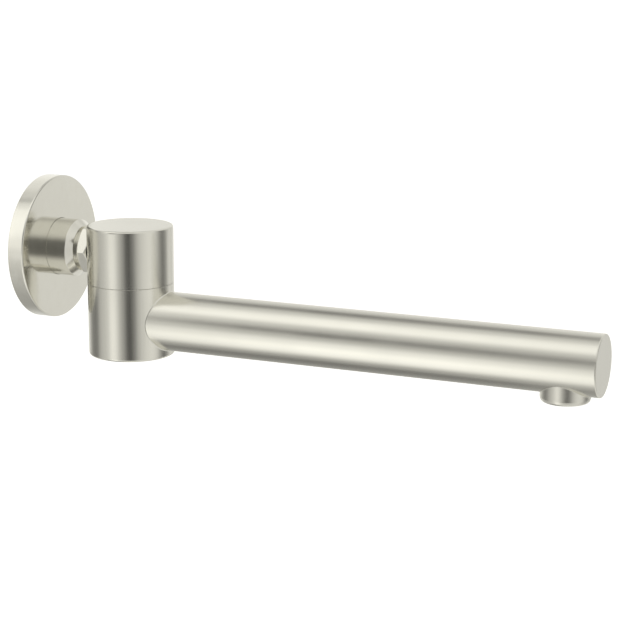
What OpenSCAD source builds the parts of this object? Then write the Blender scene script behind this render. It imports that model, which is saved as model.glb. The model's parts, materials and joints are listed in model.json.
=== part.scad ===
// Wall-mounted bath filler spout.
// A neck screws onto the supply nipple and carries a fixed upper body; a sliding
// flange covers the hole in the wall. The lower body and its spout tube swivel
// below the upper body on a hollow pivot stem that also carries the water.
// +X points out of the wall and +Z up; the origin is the inlet axis on the wall plane.

/* [Wall flange] */
// Outer diameter of the wall flange
flange_d = 60; // [50:1:90]
// Thickness of the wall flange
flange_t = 7; // [6:0.1:9]
// Thickness of its front plate and of its rim
flange_wall = 2; // [1.5:0.1:2.6]
// Chamfer on the flange's front edge
flange_chamfer = 0.5; // [0.2:0.1:1]
// Radial wall of the hub that holds the flange's O-ring
hub_wall = 3; // [2.6:0.1:4]
// Radial width of the foam gasket
gasket_w = 4; // [2.5:0.5:6]
// Thickness of the foam gasket
gasket_t = 1.6; // [1:0.1:2.2]

/* [Neck] */
// Outer diameter of the neck
neck_d = 24; // [23:0.2:30]
// Bevel at the neck's front end, along and across
neck_bevel = 2.5; // [1:0.1:2.5]
// Inside diameter of the inlet's G1/2 thread
inlet_thread_d = 18.63; // [18.5:0.01:18.7]
// Length of the inlet's thread
inlet_thread_len = 10.5; // [9:0.1:14]
// Depth of the pocket for the inlet washer and the strainer
washer_pocket = 2.5; // [2.4:0.1:3.5]
// Web between the inlet and the nipple's socket
web_t = 1.5; // [1:0.1:3]
// Thickness of the inlet's rubber washer
inlet_washer_t = 1.9; // [1.5:0.1:2]
// Thickness of the strainer disc
strainer_t = 0.3; // [0.2:0.1:0.5]
// Diameter of one hole of the strainer
strainer_hole_d = 1.2; // [0.8:0.1:1.5]
// Distance between the holes of the strainer
strainer_pitch = 1.75; // [1.7:0.05:1.8]

/* [Hex nipple] */
// Diameter of the nipple's threaded tails and of its shank
nipple_d = 16; // [14.4:0.2:16.8]
// Water bore of the nipple
nipple_bore_d = 10; // [8:0.2:10.6]
// Length of the tail in the neck
nipple_in_len = 3; // [2.5:0.1:6]
// Bare shank between the neck and the hexagon
shank_len = 1.5; // [0.8:0.1:4]
// Width of the hexagon along the neck
hex_len = 5; // [4:0.1:8]
// Width of the hexagon across its flats
hex_af = 18.2; // [17.5:0.1:18.8]
// Thickness of the fibre washer behind the tail
neck_seal_t = 1; // [0.6:0.1:1.5]

/* [Body] */
// Diameter of the upper and lower bodies
body_d = 36; // [35:0.5:46]
// Height of the upper body above the neck's axis
upper_rise = 11.5; // [11.2:0.1:16]
// Depth of the upper body below the neck's axis
upper_drop = 12.5; // [12:0.1:18]
// Height of the lower body
lower_h = 30.4; // [29:0.1:38]
// Gap between the two bodies
seam_gap = 0.1; // [0.05:0.05:0.6]
// Rounding of the top and bottom edges
body_round = 1; // [0.4:0.1:1.5]
// Chamfer on the two edges at the seam
seam_chamfer = 0.1; // [0.1:0.05:0.3]
// Diameter of the flat spot that the hexagon seats on
spot_d = 22; // [21.6:0.1:22.2]
// Depth of that spot below the body's side
spot_depth = 2.5; // [2:0.1:3.5]
// Wall between the nipple's socket and the stem's socket
port_wall = 1.5; // [1:0.1:2.5]
// Water passage through the upper body
passage_d = 9; // [7:0.2:9.6]
// Diameter of the chamber above the stem
chamber_top_d = 12; // [10:0.2:14]

/* [Pivot stem] */
// Diameter of the pivot stem
stem_d = 17; // [16:0.1:20.4]
// Water bore of the stem
stem_bore_d = 11; // [9:0.2:11.4]
// How much larger in radius the stem's thread is
stem_thread_step = 0.5; // [0.3:0.1:1]
// Diameter of the stem's four side ports
stem_port_d = 7; // [5:0.2:7.6]
// Thickness of the fibre washer above the stem
stem_seal_t = 1; // [0.6:0.1:1.5]
// Bare end of the stem below its retaining ring
stem_end = 0.6; // [0.4:0.1:1.5]
// Thickness of the retaining ring
clip_t = 1; // [0.8:0.1:1.2]
// Depth of the retaining ring's groove
clip_groove = 0.4; // [0.3:0.05:0.8]
// Radial width of the retaining ring
clip_w = 2.5; // [2:0.1:2.5]
// Opening of the retaining ring, in degrees
clip_opening = 50; // [30:1:80]
// Thickness of the steel thrust washer
thrust_t = 0.8; // [0.5:0.1:1.2]
// Diameter of the stop pin
stop_d = 2; // [1.5:0.1:2.4]
// Length of the stop pin in the upper body
stop_in = 2.5; // [2:0.1:2.7]
// Length of the stop pin below the upper body
stop_out = 2.2; // [1.5:0.1:2.4]
// Swivel of the spout to each side, in degrees
swivel_max = 90; // [45:1:100]

/* [Bushes and seals] */
// Radial wall of the two bushes
bush_wall = 2; // [1.5:0.1:2.4]
// Thickness of the upper bush's flange
upper_flange_t = 1.5; // [1:0.1:2]
// How far the upper bush's flange stands out
upper_flange_w = 2.5; // [1.5:0.1:2.6]
// Length of the upper bush's sleeve
upper_sleeve = 5; // [3:0.1:6]
// Thickness of the lower bush's flange
lower_flange_t = 1; // [0.8:0.1:1.2]
// Length of the lower bush's sleeve
lower_sleeve = 2.8; // [2:0.1:2.9]
// Thickness of the O-rings' cord
o_ring_d = 1.5; // [1.3:0.1:1.7]

/* [Spout tube] */
// Outer diameter of the spout tube
tube_d = 24.5; // [20:0.1:25]
// Wall of the spout tube
tube_wall = 1.5; // [1:0.1:2]
// Reach from the swivel axis to the tip
spout_reach = 202; // [120:1:280]
// Thickness of the end cap's disc
cap_disc_t = 1.5; // [1:0.1:2.5]
// Length of the end cap's spigot
cap_spigot = 2.5; // [1.5:0.1:2.6]
// Gap for the solder round the end cap's spigot
solder_gap = 0.1; // [0.05:0.05:0.3]
// Rounding of the end cap's edge
cap_round = 0.5; // [0.2:0.1:1]
// Passage from the stem's chamber into the tube
tube_passage_d = 12; // [9:0.2:12.2]

/* [Outlet and aerator] */
// Diameter of the outlet ring
outlet_d = 19.5; // [19:0.1:20]
// Distance from the tip back to the outlet's axis
outlet_back = 14.4; // [14:0.1:30]
// How far the outlet ring hangs below the tube
outlet_drop = 2.8; // [2:0.1:8]
// Chamfer on the outlet ring's edge
outlet_chamfer = 0.9; // [0.3:0.1:1]
// Inside diameter of the outlet's thread
outlet_thread_d = 15.6; // [15.2:0.1:16]
// Height of the outlet's threaded bore
outlet_thread_h = 6; // [5.6:0.1:6.4]
// Ledge that the aerator's seal rests under
outlet_ledge = 1.5; // [1.2:0.1:2]
// Thickness of the aerator's seal
aerator_seal_t = 1; // [0.6:0.1:1.2]
// How far the aerator sits up inside the ring
aerator_recess = 0.7; // [0.3:0.1:1]
// Wall of the aerator's housing
aerator_wall = 1; // [0.8:0.1:1.2]
// Thickness of the aerator's jet plate
jet_plate_t = 1.3; // [1:0.1:1.5]
// Thickness of the aerator's fine screen
screen_t = 0.3; // [0.2:0.1:0.4]
// Height of the aerator's honeycomb
honeycomb_h = 1.3; // [1:0.1:1.6]
// Distance between the cells of the honeycomb
honeycomb_pitch = 1.7; // [1.6:0.05:1.75]
// Wall between the cells of the honeycomb
honeycomb_wall = 0.3; // [0.2:0.05:0.5]
// Diameter of one jet hole
jet_hole_d = 0.9; // [0.6:0.1:1.2]

/* [Bottom cap] */
// Diameter of the bottom cap
bottom_cap_d = 24; // [23.6:0.1:25]
// Thickness of the bottom cap
bottom_cap_t = 2.2; // [1.6:0.1:2.4]
// Diameter of its two spanner holes
spanner_hole_d = 2.5; // [1.5:0.1:3]
// Distance between the two spanner holes
spanner_span = 14; // [10:0.5:16]

/* [Fits] */
// Running clearance of the bushes on the stem, in radius
run_gap = 0.05; // [0.02:0.01:0.1]
// Sliding clearance of the flange on the neck, in radius
slide_gap = 0.08; // [0.03:0.01:0.1]
// Clearance of an O-ring to the wall it seals on, in radius
seal_gap = 0.05; // [0.02:0.01:0.1]
// Clearance of a land to the stem, in radius
land_gap = 0.3; // [0.2:0.05:0.4]
// Clearance of loose washers and seals in their pockets, in radius
loose_gap = 0.1; // [0.05:0.05:0.3]
// Axial play at the top and at the bottom of the swivel
end_play = 0.1; // [0.05:0.05:0.2]
// Clearance around the stop pin in its groove
stop_gap = 0.2; // [0.1:0.05:0.4]

/* [Hidden] */
$fn = 96;
// Small overlap that keeps a cut clear of the face it starts on
cut = 0.01;
RING_FN = 40;
ROUND_FN = 64;
SIEVE_FN = 16;
// The washer's pocket is this much narrower than the inlet's crests, in radius
pocket_step = 0.3;
// The inlet washer's hole is this much wider than the nipple's bore, in radius
washer_step = 0.8;
// The upper body's chamber reaches this far above its cross bore
chamber_over = 0.5;
// The stem ends this far above the bottom cap
stem_end_gap = 0.4;
// Width of an O-ring's groove, as a share of its cord
groove_share = 1.3;
// The clip's pocket is this much wider than the clip, in radius
clip_room = 0.6;
// The water chamber's depth around the stem and its margin beyond the ports
chamber_depth = 3;
port_margin = 0.3;
// The stop's groove is this much deeper than the pin reaches
stop_end_gap = 0.3;
// The tube starts this far out from the chamber, and their passage cuts this far into each
tube_start = 1.4;
passage_cut = 1.5;
// The outlet ring reaches this far into the tube's wall, and the aerator's lip covers this much
outlet_sunk = 2;
aerator_lip = 0.6;

flange_r = flange_d / 2;
neck_r = neck_d / 2;
inlet_r = inlet_thread_d / 2;
pocket_r = inlet_r - pocket_step;
nipple_r = nipple_d / 2;
nipple_bore_r = nipple_bore_d / 2;
pocket_x = inlet_thread_len;
web_x = pocket_x + washer_pocket;
socket_x = web_x + web_t;
nipple_x = socket_x + neck_seal_t;
neck_len = nipple_x + nipple_in_len;
hex_x = neck_len + shank_len;
spot_x = hex_x + hex_len;
hex_r = hex_af / 2 / cos(30);

body_r = body_d / 2;
axis_x = spot_x - spot_depth + body_r;
seam_z = -upper_drop;
lower_top = seam_z - seam_gap;
lower_bottom = lower_top - lower_h;
tube_z = (lower_top + lower_bottom) / 2;

stem_r = stem_d / 2;
stem_thread_r = stem_r + stem_thread_step;
stem_bore_r = stem_bore_d / 2;
stem_port_r = stem_port_d / 2;
// The ports start this far beyond their own radius, so that neighbours never meet
port_start = 0.1;
nipple_end = axis_x - stem_thread_r - port_wall;
chamber_z = -(passage_d / 2 + chamber_over);
stem_top = chamber_z - stem_seal_t;
stem_bottom = lower_bottom + bottom_cap_t + stem_end_gap;
clip_bottom = stem_bottom + stem_end;
clip_top = clip_bottom + clip_t;
thrust_top = clip_top + thrust_t;
clip_groove_r = stem_r - clip_groove;

o_ring_r = o_ring_d / 2;
land_r = stem_r + land_gap;
stem_groove_r = land_r - seal_gap - o_ring_d;
o_groove_w = o_ring_d * groove_share;

bush_r = stem_r + bush_wall;
bush_bore_r = stem_r + run_gap;
upper_flange_top = seam_z - end_play;
upper_flange_r = bush_r + upper_flange_w;
upper_sleeve_top = upper_flange_top - upper_flange_t;
upper_sleeve_end = upper_sleeve_top - upper_sleeve;
lower_flange_bottom = thrust_top + end_play;
lower_flange_top = lower_flange_bottom + lower_flange_t;
lower_sleeve_end = lower_flange_top + lower_sleeve;
lower_pocket_r = clip_groove_r + clip_w + clip_room;
chamber_r = stem_r + chamber_depth;
chamber_top = tube_z + stem_port_r + port_margin;
chamber_bottom = tube_z - stem_port_r - port_margin;
upper_o_z = (upper_sleeve_end + chamber_top) / 2;
lower_o_z = (lower_sleeve_end + chamber_bottom) / 2;
stop_r = (upper_flange_r + body_r) / 2;
stop_groove_r = stop_d / 2 + stop_gap;

tube_r = tube_d / 2;
tube_in_r = tube_r - tube_wall;
tube_x = axis_x + chamber_r + tube_start;
tip_x = axis_x + spout_reach;
outlet_x = tip_x - outlet_back;
outlet_r = outlet_d / 2;
outlet_bottom = tube_z - tube_r - outlet_drop;
// The ring reaches up past the lowest point where its side meets the tube's side
outlet_top = tube_z - sqrt(tube_r * tube_r - outlet_r * outlet_r) + outlet_sunk;
outlet_thread_r = outlet_thread_d / 2;
outlet_step = outlet_bottom + outlet_thread_h;
aerator_top = outlet_step - aerator_seal_t;
aerator_bottom = outlet_bottom + aerator_recess;
aerator_in_r = outlet_thread_r - aerator_wall;
aerator_mouth_r = aerator_in_r - aerator_lip;
jet_plate_top = aerator_top - screen_t;
jet_plate_bottom = jet_plate_top - jet_plate_t;

flange_bore_r = neck_r + slide_gap;
flange_hub_r = flange_bore_r + hub_wall;
flange_plate_x = flange_t - flange_wall;
gasket_out_r = flange_r - flange_wall;
gasket_in_r = gasket_out_r - gasket_w;
flange_o_x = flange_t / 2;
flange_o_in_r = neck_r + seal_gap;

NICKEL = "#c3bcb1";
BRASS = "#c8a75c";
STEEL = "#b8bcc0";
RUBBER = "#26272a";
FIBRE = "#a4503c";
FOAM = "#d9d9d4";
ACETAL = "#eeece2";
PLASTIC = "#8f9498";

// A turned piece on a vertical axis; each point is [radius, height]. With a rounding, the corner at
// corner_r and corner_h, which the points cut off straight, becomes an arc; inward is the way in.
module turned(points, corner_r = 0, corner_h = 0, inward = 1, rounding = 0) {
    rotate_extrude() {
        polygon(points);
        if (rounding > 0)
            translate([corner_r - rounding, corner_h + inward * rounding])
                circle(r = rounding, $fn = ROUND_FN);
    }
}

// Stands a piece that was made along Z along X instead, from x.
module along_x(x = 0) {
    translate([x, 0, 0]) rotate([0, 90, 0]) children();
}

// Puts a piece on the swivel axis.
module on_axis(z = 0) {
    translate([axis_x, 0, z]) children();
}

module flat_ring(in_r, out_r, h) {
    turned([[in_r, 0], [out_r, 0], [out_r, h], [in_r, h]]);
}

module o_ring(in_r) {
    rotate_extrude() translate([in_r + o_ring_r, 0]) circle(r = o_ring_r, $fn = RING_FN);
}

// Calls its children at each point of a hexagonal pattern with the given number of rings.
module honeycomb_spots(pitch, rings) {
    for (row = [-rings : rings])
        for (col = [max(-rings, -rings - row) : min(rings, rings - row)])
            translate([pitch * (col + row / 2), pitch * row * cos(30), 0]) children();
}

// A perforated disc; pitch and rings give the pattern of its round holes.
module sieve(r, t, hole_d, pitch, rings) {
    difference() {
        cylinder(r = r, h = t);
        honeycomb_spots(pitch, rings)
            translate([0, 0, -cut]) cylinder(d = hole_d, h = t + 2 * cut, $fn = SIEVE_FN);
    }
}

// ---- Flange: slides on the neck ----

module wall_flange() {
    groove = o_groove_w / 2;
    color(NICKEL) along_x() turned([
        [flange_r, 0],
        [flange_r, flange_t - flange_chamfer],
        [flange_r - flange_chamfer, flange_t],
        [flange_bore_r, flange_t],
        [flange_bore_r, flange_o_x + groove],
        [flange_o_in_r + o_ring_d, flange_o_x + groove],
        [flange_o_in_r + o_ring_d, flange_o_x - groove],
        [flange_bore_r, flange_o_x - groove],
        [flange_bore_r, gasket_t],
        [flange_hub_r, gasket_t],
        [flange_hub_r, flange_plate_x],
        [gasket_in_r, flange_plate_x],
        [gasket_in_r, gasket_t],
        [gasket_out_r, gasket_t],
        [gasket_out_r, 0]
    ]);
}

module wall_gasket() {
    color(FOAM) along_x() flat_ring(gasket_in_r + loose_gap, gasket_out_r - loose_gap, gasket_t);
}

module flange_o_ring() {
    color(RUBBER) along_x(flange_o_x) o_ring(flange_o_in_r);
}

// ---- Wall side: neck, nipple, upper body and stem ----

module inlet_neck() {
    color(NICKEL) along_x() turned([
        [inlet_r, 0],
        [neck_r, 0],
        [neck_r, neck_len - neck_bevel],
        [neck_r - neck_bevel, neck_len],
        [nipple_r, neck_len],
        [nipple_r, socket_x],
        [nipple_bore_r, socket_x],
        [nipple_bore_r, web_x],
        [pocket_r, web_x],
        [pocket_r, pocket_x],
        [inlet_r, pocket_x]
    ]);
}

module inlet_washer() {
    color(RUBBER) along_x(web_x - strainer_t - inlet_washer_t)
        flat_ring(nipple_bore_r + washer_step, pocket_r - loose_gap, inlet_washer_t);
}

module inlet_strainer() {
    color(STEEL) along_x(web_x - strainer_t)
        sieve(pocket_r - loose_gap, strainer_t, strainer_hole_d, strainer_pitch, 3);
}

module neck_seal() {
    color(FIBRE) along_x(socket_x)
        flat_ring(nipple_bore_r + loose_gap, nipple_r - loose_gap, neck_seal_t);
}

module hex_nipple() {
    color(NICKEL) difference() {
        union() {
            along_x(nipple_x) cylinder(r = nipple_r, h = nipple_end - nipple_x);
            // The hexagon has a flat on top, and its corners are turned off at both ends
            along_x(hex_x) intersection() {
                rotate([0, 0, 90]) cylinder(r = hex_r, h = hex_len, $fn = 6);
                turned([
                    [0, 0],
                    [hex_af / 2, 0],
                    [hex_r, (hex_r - hex_af / 2) / 2],
                    [hex_r, hex_len - (hex_r - hex_af / 2) / 2],
                    [hex_af / 2, hex_len],
                    [0, hex_len]
                ]);
            }
        }
        along_x(nipple_x - cut) cylinder(r = nipple_bore_r, h = nipple_end - nipple_x + 2 * cut);
    }
}

module port_o_ring() {
    color(RUBBER) along_x(spot_x + o_groove_w / 2) o_ring(nipple_r);
}

module upper_body() {
    color(NICKEL) difference() {
        on_axis() turned([
            [0, seam_z],
            [body_r - seam_chamfer, seam_z],
            [body_r, seam_z + seam_chamfer],
            [body_r, upper_rise - body_round],
            [body_r - body_round, upper_rise],
            [0, upper_rise]
        ], body_r, upper_rise, -1, body_round);
        // Spot that the hexagon seats on, the O-ring's recess, the nipple's socket and the passage
        along_x(spot_x - body_r) cylinder(d = spot_d, h = body_r);
        along_x(spot_x - cut) cylinder(r = nipple_r + o_ring_d, h = o_groove_w + cut);
        along_x(spot_x - cut) cylinder(r = nipple_r, h = nipple_end - spot_x + cut);
        along_x(spot_x) cylinder(d = passage_d, h = axis_x - spot_x);
        // Chamber, stem's socket and the stop pin's hole, all from below
        on_axis(seam_z - cut) cylinder(d = chamber_top_d, h = upper_drop - chamber_z);
        on_axis(seam_z - cut) cylinder(r = stem_thread_r, h = chamber_z - seam_z + cut);
        on_axis(seam_z - cut) translate([-stop_r, 0, 0]) cylinder(d = stop_d, h = stop_in + cut);
    }
}

module stem_seal() {
    color(FIBRE) on_axis(stem_top)
        flat_ring(chamber_top_d / 2 + loose_gap, stem_thread_r - loose_gap, stem_seal_t);
}

module pivot_stem() {
    groove = o_groove_w / 2;
    color(BRASS) on_axis() difference() {
        turned([
            [0, stem_bottom],
            [stem_r, stem_bottom],
            [stem_r, clip_bottom],
            [clip_groove_r, clip_bottom],
            [clip_groove_r, clip_top],
            [stem_r, clip_top],
            [stem_r, lower_o_z - groove],
            [stem_groove_r, lower_o_z - groove],
            [stem_groove_r, lower_o_z + groove],
            [stem_r, lower_o_z + groove],
            [stem_r, upper_o_z - groove],
            [stem_groove_r, upper_o_z - groove],
            [stem_groove_r, upper_o_z + groove],
            [stem_r, upper_o_z + groove],
            [stem_r, seam_z + seam_gap],
            [stem_thread_r, seam_z + seam_gap],
            [stem_thread_r, stem_top],
            [stem_bore_r, stem_top],
            [stem_bore_r, chamber_bottom],
            [0, chamber_bottom]
        ]);
        // Four ports let the water out of the bore into the chamber
        for (turn = [45 : 90 : 315])
            translate([0, 0, tube_z]) rotate([0, 0, turn])
                along_x(stem_port_r + port_start) cylinder(r = stem_port_r, h = stem_r);
    }
}

module stop_pin() {
    color(STEEL) on_axis(seam_z - stop_out) translate([-stop_r, 0, 0])
        cylinder(d = stop_d, h = stop_out + stop_in);
}

module upper_o_ring() {
    color(RUBBER) on_axis(upper_o_z) o_ring(stem_groove_r);
}

module lower_o_ring() {
    color(RUBBER) on_axis(lower_o_z) o_ring(stem_groove_r);
}

module thrust_washer() {
    color(STEEL) on_axis(clip_top)
        flat_ring(stem_r, lower_pocket_r - land_gap, thrust_t);
}

module retaining_ring() {
    color(STEEL) on_axis(clip_bottom) difference() {
        flat_ring(clip_groove_r, clip_groove_r + clip_w, clip_t);
        // The opening is a wedge on the side towards the wall
        rotate([0, 0, 180]) translate([0, 0, -cut]) linear_extrude(clip_t + 2 * cut)
            polygon([
                [0, 0],
                [stem_d, -stem_d * tan(clip_opening / 2)],
                [stem_d, stem_d * tan(clip_opening / 2)]
            ]);
    }
}

// ---- Spout side: swivels on the stem ----

// The arc that the stop pin runs in, on the side away from the tube.
module stop_groove() {
    depth = stop_out - seam_gap + stop_end_gap;
    translate([0, 0, lower_top - depth]) {
        rotate([0, 0, 180 - swivel_max]) rotate_extrude(angle = 2 * swivel_max)
            translate([stop_r - stop_groove_r, 0]) square([2 * stop_groove_r, depth + cut]);
        for (side = [-1, 1])
            rotate([0, 0, 180 + side * swivel_max]) translate([stop_r, 0, 0])
                cylinder(r = stop_groove_r, h = depth + cut);
    }
}

module lower_body() {
    color(NICKEL) difference() {
        on_axis() turned([
            [body_r - body_round, lower_bottom],
            [body_r, lower_bottom + body_round],
            [body_r, lower_top - seam_chamfer],
            [body_r - seam_chamfer, lower_top],
            [upper_flange_r + loose_gap, lower_top],
            [upper_flange_r + loose_gap, upper_sleeve_top],
            [bush_r, upper_sleeve_top],
            [bush_r, upper_sleeve_end],
            [land_r, upper_sleeve_end],
            [land_r, chamber_top],
            [chamber_r, chamber_top],
            [chamber_r, chamber_bottom],
            [land_r, chamber_bottom],
            [land_r, lower_sleeve_end],
            [bush_r, lower_sleeve_end],
            [bush_r, lower_flange_top],
            [lower_pocket_r, lower_flange_top],
            [lower_pocket_r, lower_bottom + bottom_cap_t],
            [bottom_cap_d / 2, lower_bottom + bottom_cap_t],
            [bottom_cap_d / 2, lower_bottom]
        ], body_r, lower_bottom, 1, body_round);
        translate([0, 0, tube_z]) {
            along_x(tube_x) cylinder(r = tube_r, h = body_r);
            along_x(axis_x + chamber_r - passage_cut) cylinder(d = tube_passage_d, h = 2 * passage_cut);
        }
        on_axis() stop_groove();
    }
}

module upper_bush() {
    color(ACETAL) on_axis() turned([
        [bush_bore_r, upper_sleeve_end],
        [bush_r, upper_sleeve_end],
        [bush_r, upper_sleeve_top],
        [upper_flange_r, upper_sleeve_top],
        [upper_flange_r, upper_flange_top],
        [bush_bore_r, upper_flange_top]
    ]);
}

module lower_bush() {
    color(ACETAL) on_axis() turned([
        [bush_bore_r, lower_flange_bottom],
        [lower_pocket_r - loose_gap, lower_flange_bottom],
        [lower_pocket_r - loose_gap, lower_flange_top],
        [bush_r, lower_flange_top],
        [bush_r, lower_sleeve_end],
        [bush_bore_r, lower_sleeve_end]
    ]);
}

module bottom_cap() {
    color(NICKEL) on_axis(lower_bottom) difference() {
        cylinder(d = bottom_cap_d, h = bottom_cap_t);
        for (side = [-1, 1])
            translate([0, side * spanner_span / 2, -cut])
                cylinder(d = spanner_hole_d, h = bottom_cap_t / 2);
    }
}

module spout_tube() {
    color(NICKEL) difference() {
        translate([0, 0, tube_z]) along_x(tube_x)
            flat_ring(tube_in_r, tube_r, tip_x - cap_disc_t - tube_x);
        translate([outlet_x, 0, outlet_bottom]) cylinder(r = outlet_r, h = tube_z - outlet_bottom);
    }
}

module end_cap() {
    disc_x = tip_x - cap_disc_t;
    spigot_r = tube_in_r - solder_gap;
    color(NICKEL) translate([0, 0, tube_z]) along_x() turned([
        [0, disc_x - cap_spigot],
        [spigot_r, disc_x - cap_spigot],
        [spigot_r, disc_x],
        [tube_r, disc_x],
        [tube_r, tip_x - cap_round],
        [tube_r - cap_round, tip_x],
        [0, tip_x]
    ], tube_r, tip_x, -1, cap_round);
}

module at_outlet(z) {
    translate([outlet_x, 0, z]) children();
}

module outlet_ring() {
    color(NICKEL) at_outlet(0) turned([
        [outlet_thread_r, outlet_bottom],
        [outlet_r - outlet_chamfer, outlet_bottom],
        [outlet_r, outlet_bottom + outlet_chamfer],
        [outlet_r, outlet_top],
        [outlet_thread_r - outlet_ledge, outlet_top],
        [outlet_thread_r - outlet_ledge, outlet_step],
        [outlet_thread_r, outlet_step]
    ]);
}

module aerator_seal() {
    color(RUBBER) at_outlet(aerator_top)
        flat_ring(outlet_thread_r - outlet_ledge + loose_gap, outlet_thread_r - loose_gap, aerator_seal_t);
}

module aerator_screen() {
    color(STEEL) at_outlet(jet_plate_top)
        sieve(aerator_in_r, screen_t, jet_hole_d, honeycomb_pitch, 3);
}

module aerator_jet_plate() {
    color(ACETAL) at_outlet(jet_plate_bottom)
        sieve(aerator_in_r, jet_plate_t, jet_hole_d, honeycomb_pitch, 3);
}

module aerator_housing() {
    color(PLASTIC) at_outlet(0) turned([
        [aerator_mouth_r, aerator_bottom],
        [outlet_thread_r, aerator_bottom],
        [outlet_thread_r, aerator_top],
        [aerator_in_r, aerator_top],
        [aerator_in_r, jet_plate_bottom],
        [aerator_mouth_r, jet_plate_bottom]
    ]);
}

module aerator_honeycomb() {
    cell_r = (honeycomb_pitch - honeycomb_wall) / 2 / cos(30);
    color(PLASTIC) at_outlet(aerator_bottom) difference() {
        cylinder(r = aerator_mouth_r, h = honeycomb_h);
        honeycomb_spots(honeycomb_pitch, 3) rotate([0, 0, 30])
            translate([0, 0, -cut]) cylinder(r = cell_r, h = honeycomb_h + 2 * cut, $fn = 6);
    }
}

wall_flange();
wall_gasket();
flange_o_ring();
inlet_neck();
inlet_washer();
inlet_strainer();
neck_seal();
hex_nipple();
port_o_ring();
upper_body();
stem_seal();
pivot_stem();
stop_pin();
upper_o_ring();
lower_o_ring();
thrust_washer();
retaining_ring();
lower_body();
upper_bush();
lower_bush();
bottom_cap();
spout_tube();
end_cap();
outlet_ring();
aerator_seal();
aerator_screen();
aerator_jet_plate();
aerator_housing();
aerator_honeycomb();
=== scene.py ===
"""The looks of a wall-mounted bath spout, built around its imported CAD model.

The visible turned pieces are made again here as fine surfaces with softly broken edges, a real
inlet thread and the brazed fillets; the inner pieces stay as CAD made them. All in metres.
"""
import json
import math

import bmesh
import bpy
import numpy as np
from mathutils import Matrix, Vector


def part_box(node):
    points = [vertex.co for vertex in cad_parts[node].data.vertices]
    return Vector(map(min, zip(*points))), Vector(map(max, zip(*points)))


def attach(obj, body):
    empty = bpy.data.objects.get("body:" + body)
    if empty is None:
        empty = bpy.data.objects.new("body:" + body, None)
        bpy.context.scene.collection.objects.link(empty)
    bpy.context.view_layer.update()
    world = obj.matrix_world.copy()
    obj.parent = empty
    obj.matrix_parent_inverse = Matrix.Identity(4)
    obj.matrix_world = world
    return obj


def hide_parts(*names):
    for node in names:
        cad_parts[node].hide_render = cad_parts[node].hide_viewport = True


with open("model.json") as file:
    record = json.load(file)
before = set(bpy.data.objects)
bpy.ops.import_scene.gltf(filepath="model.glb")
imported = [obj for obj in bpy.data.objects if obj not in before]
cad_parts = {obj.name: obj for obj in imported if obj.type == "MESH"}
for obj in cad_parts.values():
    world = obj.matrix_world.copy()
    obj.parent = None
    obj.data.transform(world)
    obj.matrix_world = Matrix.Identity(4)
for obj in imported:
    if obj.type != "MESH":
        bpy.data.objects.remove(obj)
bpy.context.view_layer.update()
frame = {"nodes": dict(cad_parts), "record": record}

MM = 0.001
AROUND = 240  # faces round a turned piece
BROKEN_EDGE = 0.12 * MM  # the radius that tumbling leaves on a machined edge
POLISHED_EDGE = 0.3 * MM  # the radius that polishing leaves on an edge in sight
SUNK = 0.3 * MM  # how deep a fillet's back lies inside the pieces that it joins


# ---- Places and sizes, from the frame ----

def low(node):
    """The lowest corner of a node's box."""
    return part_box(node)[0]


def high(node):
    """The highest corner of a node's box."""
    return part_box(node)[1]


def middle(node):
    """The centre of a node's box."""
    return (low(node) + high(node)) / 2


FLANGE_R = high("wall_flange").z
FLANGE_T = high("wall_flange").x
GASKET_T = high("wall_gasket").x
NECK_R = high("inlet_neck").z
NECK_LEN = high("inlet_neck").x
NIPPLE_START = low("hex_nipple").x
NIPPLE_END = high("hex_nipple").x
HEX_FLAT_R = high("hex_nipple").z
BODY_AXIS_X = middle("upper_body").x
BODY_R = high("upper_body").y
TUBE_R = high("spout_tube").y
TUBE_Z = middle("spout_tube").z
TIP_X = high("end_cap").x
OUTLET_X = middle("outlet_ring").x
OUTLET_R = high("outlet_ring").y
OUTLET_BOTTOM = low("outlet_ring").z
OUTLET_TOP = high("outlet_ring").z
INLET = frame["record"]["mounts"][0]["dims"]

# Sizes that no box gives
FLANGE_WALL = 2 * MM
FLANGE_FRONT_EDGE = 0.45 * MM
FLANGE_INNER_CORNER = 0.5 * MM
SLIDE_GAP = 0.08 * MM
HUB_WALL = 3 * MM
GASKET_WIDTH = 4 * MM
POCKET_DEPTH = 2.5 * MM
WEB = 1.5 * MM
NECK_BEVEL = 2.5 * MM
NIPPLE_R = 8 * MM
NIPPLE_BORE_R = 5 * MM
HEX_LENGTH = 5 * MM
O_CORD = 1.5 * MM
O_GROOVE = 1.95 * MM  # width of an O-ring's groove
CAP_DISC = 1.5 * MM
CAP_EDGE = 0.5 * MM
TUBE_WALL = 1.5 * MM
OUTLET_SHOULDER = 1.6 * MM  # height of the outlet's rounded lower edge
OUTLET_TOE = 0.9 * MM  # how far that edge comes in
OUTLET_LEDGE = 1.5 * MM
SOLDER_GAP = 0.1 * MM
THREAD_PITCH = 25.4 / 14 * MM  # 14 threads to the inch
THREAD_DEPTH = 1.162 * MM
THREAD_RELIEF = 0.3 * MM  # the washer's pocket is this much narrower than the crests
THREAD_LEAD_IN = 0.3  # the thread grows to its full depth over this share of a pitch
THREAD_POINTS = 132  # points along the thread, about 23 to a turn
HEX_POINTS = 60  # points along the hexagon
HEX_CORNER_CUT = 0.1 * MM  # the corner chamfer starts this far inside the flats
BODY_FILLET = 0.5 * MM
OUTLET_FILLET = 0.3 * MM


# ---- Materials ----

def linear(hex_colour):
    """An sRGB colour such as "dddbcf" as linear red, green, blue and alpha."""
    srgb = np.array([int(hex_colour[i:i + 2], 16) for i in (0, 2, 4)]) / 255
    channels = np.where(srgb <= 0.04045, srgb / 12.92, ((srgb + 0.055) / 1.055) ** 2.4)
    return (*channels.tolist(), 1.0)


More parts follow.
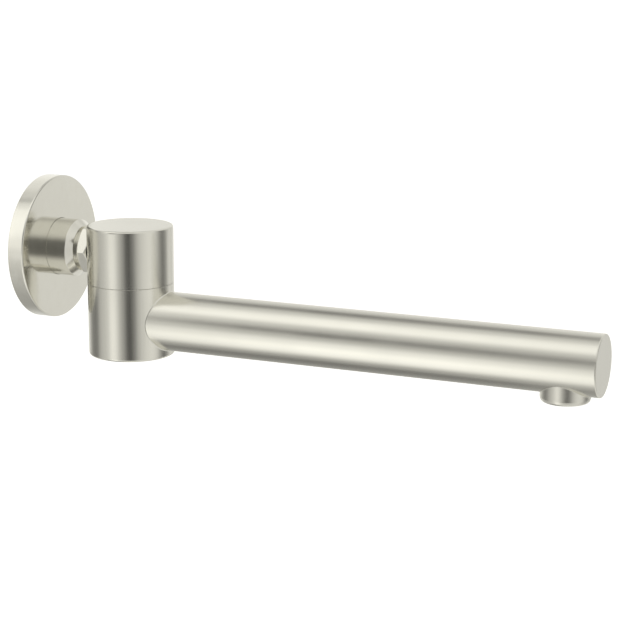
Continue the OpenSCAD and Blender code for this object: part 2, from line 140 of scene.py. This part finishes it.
def add(tree, kind, links=None, **settings):
    """Adds a node; settings are its properties or its inputs' values, links its inputs' sources."""
    node = tree.nodes.new(kind)
    for name, value in settings.items():
        if hasattr(node, name):
            setattr(node, name, value)
        else:
            node.inputs[name.replace("_", " ")].default_value = value
    for name, source in (links or {}).items():
        tree.links.new(source, node.inputs[name])
    return node


def new_material(name, **shader_values):
    """A material with one Principled shader; shader_values are set on its own sockets."""
    material = bpy.data.materials.new(name)
    material.use_nodes = True
    tree = material.node_tree
    tree.nodes.clear()
    shader = add(tree, "ShaderNodeBsdfPrincipled")
    for socket, value in shader_values.items():
        shader.inputs[socket.replace("_", " ")].default_value = value
    output = add(tree, "ShaderNodeOutputMaterial")
    tree.links.new(shader.outputs["BSDF"], output.inputs["Surface"])
    return material, tree, shader


def stretched_noise(tree, grain_mm, detail=2.0):
    """Noise whose grain is grain_mm long along X, Y and Z of the object."""
    place = add(tree, "ShaderNodeTexCoord")
    stretch = add(tree, "ShaderNodeMapping", {"Vector": place.outputs["Object"]})
    stretch.inputs["Scale"].default_value = [1 / (size * MM) for size in grain_mm]
    return add(tree, "ShaderNodeTexNoise", {"Vector": stretch.outputs["Vector"]},
               Scale=1.0, Detail=detail, Roughness=0.55)


def brushed_nickel(name, line_mm, roughness, depth):
    """Nickel plate over brass, drawn along its length with a fine belt and lacquered.

    The belt leaves long lines beside each other, so the gloss is soft across them. line_mm is the
    grain along X, Y and Z. Real belt lines are 0.05 mm apart; these are 0.35 mm, so that they show.
    """
    material, tree, shader = new_material(name, Metallic=1.0)
    lines = stretched_noise(tree, line_mm)
    cloud = stretched_noise(tree, (18, 18, 18), detail=1.0)
    warmth = add(tree, "ShaderNodeMix", {"Factor": lines.outputs["Fac"]}, data_type="RGBA")
    warmth.inputs["A"].default_value = linear("e4e2da")
    warmth.inputs["B"].default_value = linear("ecebe4")
    tree.links.new(warmth.outputs["Result"], shader.inputs["Base Color"])
    blend = add(tree, "ShaderNodeMath", {0: lines.outputs["Fac"], 1: cloud.outputs["Fac"]},
                operation="ADD")
    rough = add(tree, "ShaderNodeMapRange", {"Value": blend.outputs["Value"]},
                From_Min=0.6, From_Max=1.4, To_Min=roughness - 0.03, To_Max=roughness + 0.03)
    tree.links.new(rough.outputs["Result"], shader.inputs["Roughness"])
    relief = add(tree, "ShaderNodeBump", {"Height": lines.outputs["Fac"]},
                 Strength=0.35, Distance=depth * MM)
    tree.links.new(relief.outputs["Normal"], shader.inputs["Normal"])
    return material


def turned_brass():
    """Free-cutting brass, bare: turned on a lathe, so fine rings run round the axis."""
    material, tree, shader = new_material("turned_brass", Metallic=1.0, Base_Color=linear("c9a55c"))
    rings = stretched_noise(tree, (6, 6, 0.3))
    rough = add(tree, "ShaderNodeMapRange", {"Value": rings.outputs["Fac"]},
                To_Min=0.22, To_Max=0.38)
    tree.links.new(rough.outputs["Result"], shader.inputs["Roughness"])
    relief = add(tree, "ShaderNodeBump", {"Height": rings.outputs["Fac"]},
                 Strength=0.4, Distance=0.01 * MM)
    tree.links.new(relief.outputs["Normal"], shader.inputs["Normal"])
    return material


def speckled(name, dark, light, grain_mm, roughness, relief_mm, **shader_values):
    """A dull solid with a fine mottle: moulded rubber, foam, fibre or plastic."""
    material, tree, shader = new_material(name, **shader_values)
    mottle = stretched_noise(tree, (grain_mm,) * 3, detail=4.0)
    colour = add(tree, "ShaderNodeMix", {"Factor": mottle.outputs["Fac"]}, data_type="RGBA")
    colour.inputs["A"].default_value = linear(dark)
    colour.inputs["B"].default_value = linear(light)
    tree.links.new(colour.outputs["Result"], shader.inputs["Base Color"])
    rough = add(tree, "ShaderNodeMapRange", {"Value": mottle.outputs["Fac"]},
                To_Min=roughness - 0.06, To_Max=roughness + 0.06)
    tree.links.new(rough.outputs["Result"], shader.inputs["Roughness"])
    relief = add(tree, "ShaderNodeBump", {"Height": mottle.outputs["Fac"]},
                 Strength=0.5, Distance=relief_mm * MM)
    tree.links.new(relief.outputs["Normal"], shader.inputs["Normal"])
    return material


LINE = 0.35
LINE_LENGTH = 30
# Belted along the drum and along the tube: reflections that are soft across the lines
nickel_upright = brushed_nickel("brushed_nickel_upright", (LINE, LINE, LINE_LENGTH), 0.24, 0.005)
nickel_along = brushed_nickel("brushed_nickel_along", (LINE_LENGTH, LINE, LINE), 0.24, 0.005)
# Buffed: clearer reflections and hardly any grain
nickel_polished = brushed_nickel("polished_nickel", (4, 4, 4), 0.12, 0.001)
# Too short for the belt, so it is brushed by hand in no one direction: a dull sheen
nickel_satin = brushed_nickel("satin_nickel", (1, 1, 1), 0.34, 0.002)
brass = turned_brass()
# Rolled and punched: an even grey gloss
stainless = speckled("stainless_sheet", "b4b6b8", "c6c8ca", 0.4, 0.28, 0.004, Metallic=1.0)
# Moulded: near black and matt
rubber = speckled("nitrile_rubber", "1d1e20", "2a2b2e", 0.3, 0.62, 0.02, IOR=1.52)
# Pressed from paper: dull red-brown with a fine mottle
fibre = speckled("vulcanised_fibre", "7e3526", "a04a38", 0.25, 0.7, 0.03, IOR=1.55)
# Expanded and cut: pale, matt and pitted
foam = speckled("closed_cell_foam", "bdbdb8", "dcdcd7", 0.5, 0.85, 0.12, IOR=1.45)
# Moulded: smooth, with a waxy sheen
white_acetal = speckled("white_acetal", "e4e2d8", "efede5", 0.8, 0.42, 0.005, IOR=1.48)
grey_acetal = speckled("grey_acetal", "85898d", "93979b", 0.8, 0.4, 0.005, IOR=1.48)


# ---- Surfaces ----

ARC_SHARE = 0.45  # the most of an edge that one corner's arc may take
SUPPORT_SHARE = 0.49  # the most of it that the arc and its support point may take together
SUPPORT = 0.6  # how far past the arc the support point is, as a share of the arc's reach
SHARP_ANGLE = 35  # degrees between faces past which an edge is shaded as a sharp one


def rounded(corners, steps=6):
    """A closed outline whose corners are arcs.

    Each corner is (radius, height, rounding). A corner's arc starts and ends at rounding times the
    tangent of half its turn from the corner, and a support point beside each end keeps the flats flat.
    """
    points = np.array([corner[:2] for corner in corners], float)
    outline = []
    for i, (_, _, size) in enumerate(corners):
        here = points[i]
        back, ahead = points[i - 1] - here, points[(i + 1) % len(points)] - here
        back_len, ahead_len = np.linalg.norm(back), np.linalg.norm(ahead)
        back, ahead = back / back_len, ahead / ahead_len
        half_turn = math.acos(np.clip(-back @ ahead, -1, 1)) / 2
        reach = min(size * math.tan(half_turn), ARC_SHARE * back_len, ARC_SHARE * ahead_len)
        if reach < 1e-7:
            outline.append(here)
            continue
        beyond = (1 + SUPPORT) * reach
        outline.append(here + back * min(beyond, SUPPORT_SHARE * back_len))
        # A quadratic curve from one tangent point to the other through the corner's pull
        for share in np.linspace(0, 1, steps + 1):
            outline.append((1 - share) ** 2 * (here + back * reach)
                           + 2 * share * (1 - share) * here + share ** 2 * (here + ahead * reach))
        outline.append(here + ahead * min(beyond, SUPPORT_SHARE * ahead_len))
    return np.array(outline)


def make_piece(name, grid, closed_along=True):
    """Makes a mesh of a grid of points: rows run along the outline, columns close round the axis."""
    rows, columns, _ = grid.shape
    row = np.arange(rows if closed_along else rows - 1)[:, None]
    column = np.arange(columns)[None, :]
    next_row, next_column = (row + 1) % rows, (column + 1) % columns
    faces = np.stack([row * columns + column, row * columns + next_column,
                      next_row * columns + next_column, next_row * columns + column], axis=-1)
    mesh = bpy.data.meshes.new(name)
    mesh.from_pydata(grid.reshape(-1, 3).tolist(), [], faces.reshape(-1, 4).tolist())
    work = bmesh.new()
    work.from_mesh(mesh)
    bmesh.ops.remove_doubles(work, verts=work.verts, dist=1e-7)
    bmesh.ops.dissolve_degenerate(work, edges=work.edges, dist=1e-8)
    bmesh.ops.recalc_face_normals(work, faces=work.faces)
    work.to_mesh(mesh)
    work.free()
    mesh.polygons.foreach_set("use_smooth", np.ones(len(mesh.polygons), bool))
    mesh.set_sharp_from_angle(angle=math.radians(SHARP_ANGLE))
    piece = bpy.data.objects.new(name, mesh)
    bpy.context.scene.collection.objects.link(piece)
    return piece


def turn(outline, along, centre=(0, 0, 0), swell=None):
    """The grid of an outline turned about an axis through centre.

    A point at radius r and height h goes to h along the axis and r times the cosine and sine of the
    angle across it. swell(radius, height, angle) may change the radius.
    """
    angle = np.linspace(0, 2 * np.pi, AROUND, endpoint=False)[None, :]
    radius, height = outline[:, :1], outline[:, 1:2]
    radius = np.broadcast_to(radius, (len(outline), AROUND))
    height = np.broadcast_to(height, (len(outline), AROUND))
    if swell is not None:
        radius = swell(radius, height, angle)
    across, up = radius * np.cos(angle), radius * np.sin(angle)
    axes = {"x": (height, across, up), "z": (across, up, height)}
    return np.stack(axes[along], axis=-1) + np.array(centre)


def finish_piece(piece, material, body, slot, *nodes):
    """Gives a new piece its material, the body it moves with and the CAD nodes it stands for."""
    piece.data.materials.clear()
    piece.data.materials.append(material)
    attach(piece, body)
    if nodes:
        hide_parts(*nodes)


# ---- Flange ----

def flange_plate():
    """The flange: a shallow dish with a hub round the neck, every edge broken."""
    bore_r = NECK_R + SLIDE_GAP
    hub_r = bore_r + HUB_WALL
    plate_x = FLANGE_T - FLANGE_WALL
    gasket_out = FLANGE_R - FLANGE_WALL
    gasket_in = gasket_out - GASKET_WIDTH
    groove_out, groove_half = NECK_R + O_CORD, O_GROOVE / 2
    groove_x = FLANGE_T / 2
    edge = BROKEN_EDGE
    corners = [
        (FLANGE_R, 0, edge), (FLANGE_R, FLANGE_T, FLANGE_FRONT_EDGE),
        (bore_r, FLANGE_T, edge), (bore_r, groove_x + groove_half, edge),
        (groove_out, groove_x + groove_half, edge), (groove_out, groove_x - groove_half, edge),
        (bore_r, groove_x - groove_half, edge), (bore_r, GASKET_T, edge),
        (hub_r, GASKET_T, edge), (hub_r, plate_x, FLANGE_INNER_CORNER),
        (gasket_in, plate_x, FLANGE_INNER_CORNER), (gasket_in, GASKET_T, edge),
        (gasket_out, GASKET_T, edge), (gasket_out, 0, edge),
    ]
    piece = make_piece("flange_plate", turn(rounded(corners), "x"))
    finish_piece(piece, nickel_polished, "flange", "brushed_nickel", "wall_flange")


# ---- Neck and hexagon ----

def threaded_neck():
    """The neck, with its inlet thread cut as a helix.

    Over the thread's length the bore's radius grows by the thread's depth times a raised cosine of
    the height over the pitch less the angle over a full turn, which is a rounded 55 degree thread.
    The depth fades to nothing over the last turn.
    """
    crest_r, thread_end = INLET["r_mm"] * MM, INLET["length_mm"] * MM
    pocket_r, pocket_end = crest_r - THREAD_RELIEF, thread_end + POCKET_DEPTH
    web_end = pocket_end + WEB
    edge = BROKEN_EDGE
    body = rounded([
        (crest_r, 0, 0), (NECK_R, 0, edge), (NECK_R, NECK_LEN - NECK_BEVEL, POLISHED_EDGE),
        (NECK_R - NECK_BEVEL, NECK_LEN, POLISHED_EDGE), (NIPPLE_R, NECK_LEN, edge),
        (NIPPLE_R, web_end, edge), (NIPPLE_BORE_R, web_end, edge),
        (NIPPLE_BORE_R, pocket_end, edge), (pocket_r, pocket_end, edge),
        (pocket_r, thread_end, edge), (crest_r, thread_end, 0),
    ])
    depths = np.linspace(thread_end, 0, THREAD_POINTS)[1:-1]
    threaded = np.stack([np.full_like(depths, crest_r), depths], axis=1)
    outline = np.concatenate([body, threaded])
    is_thread = np.arange(len(outline))[:, None] >= len(body)

    def cut_thread(radius, height, angle):
        wave = 0.5 - 0.5 * np.cos(2 * np.pi * (height / THREAD_PITCH - angle / (2 * np.pi)))
        runout = np.clip((thread_end - height) / THREAD_PITCH, 0, 1)
        lead_in = np.clip(height / (THREAD_LEAD_IN * THREAD_PITCH), 0, 1)
        return radius + is_thread * THREAD_DEPTH * wave * runout * lead_in

    piece = make_piece("neck", turn(outline, "x", swell=cut_thread))
    finish_piece(piece, nickel_polished, "wall_side", "brushed_nickel", "inlet_neck")


def hexagon_nipple():
    """The nipple: a bare shank, a hexagon with turned-off corners and a bore.

    The hexagon's radius at an angle is half its width over the cosine of the angle from the middle
    of the nearest flat. The corner chamfer is a cone. A soft minimum of the two, the inverse sixtieth
    root of the sum of their inverse powers, leaves every edge slightly broken.
    """
    hex_end = middle("port_o_ring").x - O_GROOVE / 2
    hex_start = hex_end - HEX_LENGTH
    width = np.linspace(hex_start, hex_end, HEX_POINTS)
    hexagon = np.stack([np.full_like(width, HEX_FLAT_R), width], axis=1)
    outline = np.concatenate([
        [(NIPPLE_BORE_R, NIPPLE_START), (NIPPLE_R, NIPPLE_START), (NIPPLE_R, hex_start)],
        hexagon,
        [(NIPPLE_R, hex_end), (NIPPLE_R, NIPPLE_END), (NIPPLE_BORE_R, NIPPLE_END)]])
    is_hexagon = outline[:, :1] == HEX_FLAT_R
    sharpness, face_r, cone_slope = 60, HEX_FLAT_R - HEX_CORNER_CUT, 2.0

    def shape_hexagon(radius, height, angle):
        flats = HEX_FLAT_R / np.cos((angle - np.pi / 3) % (np.pi / 3) - np.pi / 6)
        from_end = np.clip(np.minimum(height - hex_start, hex_end - height), 0, None)
        cone = face_r + cone_slope * from_end
        soft = (flats ** -sharpness + cone ** -sharpness) ** (-1 / sharpness)
        return np.where(is_hexagon, soft, radius)

    piece = make_piece("hexagon", turn(outline, "x", swell=shape_hexagon))
    finish_piece(piece, nickel_polished, "wall_side", "brushed_nickel", "hex_nipple")


# ---- Spout ----

def tube_end():
    """The cap in the tube's end: a flat disc with a rounded rim and a spigot."""
    disc_x = TIP_X - CAP_DISC
    spigot_r = TUBE_R - TUBE_WALL - SOLDER_GAP
    outline = rounded([
        (0, low("end_cap").x, 0), (spigot_r, low("end_cap").x, BROKEN_EDGE),
        (spigot_r, disc_x, 0), (TUBE_R, disc_x, 0),
        (TUBE_R, TIP_X, CAP_EDGE), (0, TIP_X, 0),
    ])
    piece = make_piece("tube_end", turn(outline, "x", (0, 0, TUBE_Z)), closed_along=False)
    finish_piece(piece, nickel_along, "spout", "brushed_nickel", "end_cap")


def outlet_collar():
    """The ring under the tube: a rounded lower edge and a ledge over the aerator."""
    thread_r = high("aerator_housing").y
    ledge_r = thread_r - OUTLET_LEDGE
    step_z = high("aerator_seal").z
    outline = rounded([
        (thread_r, OUTLET_BOTTOM, POLISHED_EDGE),
        (OUTLET_R - OUTLET_TOE, OUTLET_BOTTOM, POLISHED_EDGE),
        (OUTLET_R - OUTLET_TOE / 3, OUTLET_BOTTOM + OUTLET_SHOULDER / 3, OUTLET_TOE),
        (OUTLET_R, OUTLET_BOTTOM + OUTLET_SHOULDER, OUTLET_TOE),
        (OUTLET_R, OUTLET_TOP, BROKEN_EDGE),
        (ledge_r, OUTLET_TOP, BROKEN_EDGE), (ledge_r, step_z, BROKEN_EDGE),
        (thread_r, step_z, BROKEN_EDGE),
    ])
    piece = make_piece("outlet_collar", turn(outline, "z", (OUTLET_X, 0, 0)))
    finish_piece(piece, nickel_satin, "spout", "brushed_nickel", "outlet_ring")


def fillet(name, centres, side_a, side_b, corner, size):
    """A concave strip between two surfaces.

    A ball of the fillet's size rolls along centres and touches the two surfaces in the unit
    directions side_a and side_b; the strip is the arc between them, closed through the corner.
    """
    steps = 8
    turn_angle = np.arccos(np.clip(np.sum(side_a * side_b, axis=1), -1, 1))[None, :, None]
    share = np.linspace(0, 1, steps + 1)[:, None, None]
    arc = (np.sin((1 - share) * turn_angle) * side_a + np.sin(share * turn_angle) * side_b)
    arc = centres + size * arc / np.sin(turn_angle)
    return make_piece(name, np.concatenate([arc, corner[None]]))


def body_fillet():
    """The brazed fillet where the tube leaves the round body.

    The ball's centre is the tube's radius plus its own from the tube's axis, and the body's radius
    plus its own from the body's axis, so its distance out from the body's axis is the root of the
    difference of the squares.
    """
    size = BODY_FILLET
    angle = np.linspace(0, 2 * np.pi, AROUND, endpoint=False)
    cosine, sine = np.cos(angle), np.sin(angle)
    y, z = (TUBE_R + size) * sine, (TUBE_R + size) * cosine
    x = np.sqrt((BODY_R + size) ** 2 - y ** 2)
    centres = np.stack([BODY_AXIS_X + x, y, TUBE_Z + z], axis=1)
    to_body = -np.stack([x, y, np.zeros_like(x)], axis=1) / (BODY_R + size)
    to_tube = -np.stack([np.zeros_like(x), y, z], axis=1) / (TUBE_R + size)
    tube_y, tube_z = (TUBE_R - SUNK) * sine, (TUBE_R - SUNK) * cosine
    corner_x = np.sqrt((BODY_R - SUNK) ** 2 - tube_y ** 2)
    corner = np.stack([BODY_AXIS_X + corner_x, tube_y, TUBE_Z + tube_z], axis=1)
    piece = fillet("body_fillet", centres, to_body, to_tube, corner, size)
    finish_piece(piece, nickel_upright, "spout", "brushed_nickel")


def outlet_fillet():
    """The small fillet where the outlet ring leaves the tube's underside."""
    size = OUTLET_FILLET
    angle = np.linspace(0, 2 * np.pi, AROUND, endpoint=False)
    cosine, sine = np.cos(angle), np.sin(angle)
    x, y = (OUTLET_R + size) * cosine, (OUTLET_R + size) * sine
    z = -np.sqrt((TUBE_R + size) ** 2 - y ** 2)
    centres = np.stack([OUTLET_X + x, y, TUBE_Z + z], axis=1)
    to_ring = -np.stack([x, y, np.zeros_like(x)], axis=1) / (OUTLET_R + size)
    to_tube = -np.stack([np.zeros_like(x), y, z], axis=1) / (TUBE_R + size)
    ring_x, ring_y = (OUTLET_R - SUNK) * cosine, (OUTLET_R - SUNK) * sine
    corner_z = -np.sqrt((TUBE_R - SUNK) ** 2 - ring_y ** 2)
    corner = np.stack([OUTLET_X + ring_x, ring_y, TUBE_Z + corner_z], axis=1)
    piece = fillet("outlet_fillet", centres, to_ring, to_tube, corner, size)
    finish_piece(piece, nickel_satin, "spout", "brushed_nickel")


flange_plate()
threaded_neck()
hexagon_nipple()
tube_end()
outlet_collar()
body_fillet()
outlet_fillet()


# ---- Finishes of the CAD pieces that stay ----

FINISHES = {
    nickel_upright: ["upper_body", "lower_body", "bottom_cap"],
    nickel_along: ["spout_tube"],
    brass: ["pivot_stem"],
    stainless: ["inlet_strainer", "stop_pin", "thrust_washer", "retaining_ring", "aerator_screen"],
    rubber: ["flange_o_ring", "inlet_washer", "port_o_ring", "upper_o_ring", "lower_o_ring",
             "aerator_seal"],
    fibre: ["neck_seal", "stem_seal"],
    foam: ["wall_gasket"],
    white_acetal: ["upper_bush", "lower_bush", "aerator_jet_plate"],
    grey_acetal: ["aerator_housing", "aerator_honeycomb"],
}
for finish, names in FINISHES.items():
    for name in names:
        node_object = frame["nodes"][name]
        for material_slot in node_object.material_slots:
            material_slot.material = finish


# ---- Camera ----

def place_camera():
    """A long lens, from the front left and a little above."""
    azimuth, elevation, roll = map(math.radians, (23.40, 12.57, 0.19))
    distance = 0.71093
    target = Vector((0.12189, 0, -0.01709))
    back = Vector((math.sin(azimuth) * math.cos(elevation),
                   -math.cos(azimuth) * math.cos(elevation), math.sin(elevation)))
    camera = bpy.data.objects.new("camera", bpy.data.cameras.new("camera"))
    camera.data.lens = 103.16
    camera.data.sensor_width = 36
    camera.data.clip_start, camera.data.clip_end = 0.01, 50
    turn_to = back.to_track_quat("Z", "Y").to_matrix() @ Matrix.Rotation(roll, 3, "Z")
    camera.matrix_world = Matrix.Translation(target + back * distance) @ turn_to.to_4x4()
    bpy.context.scene.collection.objects.link(camera)
    bpy.context.scene.camera = camera


# ---- Studio ----

def ramp(tree, source, stops):
    """A smooth run of grey levels; stops are (degrees, brightness) from -180 to 180."""
    share = add(tree, "ShaderNodeMapRange", {"Value": source}, From_Min=-180.0, From_Max=180.0)
    node = add(tree, "ShaderNodeValToRGB", {"Fac": share.outputs["Result"]})
    node.color_ramp.interpolation = "EASE"
    elements = node.color_ramp.elements
    places = [(degrees + 180) / 360 for degrees, _ in stops]
    elements[0].position, elements[-1].position = places[0], places[-1]
    for place in places[1:-1]:
        elements.new(place)
    for element, (_, level) in zip(elements, stops):
        element.color = (level / 2, level / 2, level / 2, 1)
    return node.outputs["Color"]


def degrees_of(tree, up, across):
    """The angle of a direction from its two parts, in degrees."""
    angle = add(tree, "ShaderNodeMath", {0: up, 1: across}, operation="ARCTAN2")
    return add(tree, "ShaderNodeMath", {0: angle.outputs["Value"]},
               operation="DEGREES").outputs["Value"]


def studio():
    """A white tent with dark gaps between its panels, over a plain pale floor.

    Round the upright axis the gaps are narrow and stand beside the camera and to its left and
    right. Round the spout's axis they are the gaps above, in front of and under the panels, and
    beside the wall a softer panel takes their place.
    """
    world = bpy.data.worlds.new("studio")
    bpy.context.scene.world = world
    world.use_nodes = True
    tree = world.node_tree
    tree.nodes.clear()
    place = add(tree, "ShaderNodeTexCoord")
    parts = add(tree, "ShaderNodeSeparateXYZ", {"Vector": place.outputs["Generated"]})
    x, y, z = (parts.outputs[name] for name in "XYZ")
    toward = add(tree, "ShaderNodeMath", {0: y}, operation="MULTIPLY")
    toward.inputs[1].default_value = -1.0
    compass = degrees_of(tree, y, x)
    roll = degrees_of(tree, z, toward.outputs["Value"])
    upright = ramp(tree, compass, [
        (-180, 0.22), (-168, 0.20), (-150, 0.55), (-130, 0.66), (-98, 0.66), (-84, 0.40),
        (-69, 0.02), (-56, 0.18), (-41, 0.58), (-28, 0.74), (-8, 0.86), (8, 0.78), (20, 0.38),
        (33, 0.14), (46, 0.30), (60, 0.80), (80, 0.66), (100, 0.95), (119, 1.25), (140, 0.95),
        (158, 0.50), (172, 0.26), (180, 0.22)])
    lengthwise = ramp(tree, roll, [
        (-180, 0.90), (-163, 0.80), (-143, 0.45), (-118, 0.30), (-97, 0.20), (-80, 0.42),
        (-52, 1.25), (-37, 1.40), (-15, 1.08), (2, 0.58), (20, 0.13), (36, 0.52), (62, 1.22), (76, 1.15),
        (96, 0.70), (120, 0.18), (140, 0.65), (166, 0.85), (180, 0.90)])
    beside_wall = ramp(tree, roll, [
        (-180, 0.95), (-150, 0.70), (-107, 0.40), (-81, 0.41), (-60, 0.46), (-41, 0.53),
        (-24, 0.65), (-7, 0.86), (9, 1.11), (26, 1.30), (43, 1.30), (61, 1.16), (76, 0.85),
        (84, 0.50), (94, 0.70), (120, 0.90), (166, 1.00), (180, 0.95)])
    near_wall = add(tree, "ShaderNodeMapRange", {"Value": x}, From_Min=-0.512, From_Max=-0.484,
                    To_Min=1.0, To_Max=0.0, interpolation_type="SMOOTHSTEP")
    panels = add(tree, "ShaderNodeMix", {"Factor": near_wall.outputs["Result"]}, data_type="RGBA")
    tree.links.new(lengthwise, panels.inputs["A"])
    tree.links.new(beside_wall, panels.inputs["B"])
    # Reflections off the tube all run back along the spout by about this share of their length
    tube_share = 0.388
    off_cone = add(tree, "ShaderNodeMath", {0: x}, operation="ADD")
    off_cone.inputs[1].default_value = tube_share
    off_cone = add(tree, "ShaderNodeMath", {0: off_cone.outputs["Value"]}, operation="ABSOLUTE")
    near_cone = add(tree, "ShaderNodeMapRange", {"Value": off_cone.outputs["Value"]},
                    From_Min=0.12, From_Max=0.30, To_Min=1.0, To_Max=0.0,
                    interpolation_type="SMOOTHSTEP")
    # Straight up and down the round-the-axis pattern would meet in a point, so it fades out there
    height = add(tree, "ShaderNodeMath", {0: z}, operation="ABSOLUTE")
    near_pole = add(tree, "ShaderNodeMapRange", {"Value": height.outputs["Value"]},
                    From_Min=0.35, From_Max=0.85, interpolation_type="SMOOTHSTEP")
    even_grey = 0.4
    calm = add(tree, "ShaderNodeMix", {"Factor": near_pole.outputs["Result"]}, data_type="RGBA")
    calm.inputs["B"].default_value = (even_grey, even_grey, even_grey, 1)
    tree.links.new(upright, calm.inputs["A"])
    light = add(tree, "ShaderNodeMix", {"Factor": near_cone.outputs["Result"]}, data_type="RGBA")
    tree.links.new(calm.outputs["Result"], light.inputs["A"])
    tree.links.new(panels.outputs["Result"], light.inputs["B"])
    warm = add(tree, "ShaderNodeMix", {"A": light.outputs["Result"]}, data_type="RGBA",
               blend_type="MULTIPLY", Factor=1.0)
    warm.inputs["B"].default_value = linear("fffef8")
    tent = add(tree, "ShaderNodeBackground", {"Color": warm.outputs["Result"]}, Strength=2.0)
    backdrop = add(tree, "ShaderNodeBackground", Color=(1, 1, 1, 1), Strength=1.05)
    path = add(tree, "ShaderNodeLightPath")
    seen = add(tree, "ShaderNodeMixShader", {"Fac": path.outputs["Is Camera Ray"],
                                             1: tent.outputs["Background"],
                                             2: backdrop.outputs["Background"]})
    output = add(tree, "ShaderNodeOutputWorld")
    tree.links.new(seen.outputs["Shader"], output.inputs["Surface"])
    bpy.context.scene.view_settings.view_transform = "Standard"


def pale_floor():
    """A wide white floor, well below the spout."""
    half, depth = 4.0, -0.7
    mesh = bpy.data.meshes.new("floor")
    mesh.from_pydata([(-half, -half, depth), (half, -half, depth), (half, half, depth),
                      (-half, half, depth)], [], [(0, 1, 2, 3)])
    floor = bpy.data.objects.new("floor", mesh)
    bpy.context.scene.collection.objects.link(floor)
    material, tree, _ = new_material("floor_paper", Base_Color=linear("f4f4f2"), Roughness=0.9,
                                     Emission_Color=(1, 1, 1, 1), Emission_Strength=0.5)
    mesh.materials.append(material)
    floor.visible_glossy = False
    floor.visible_diffuse = False


place_camera()
studio()
pale_floor()
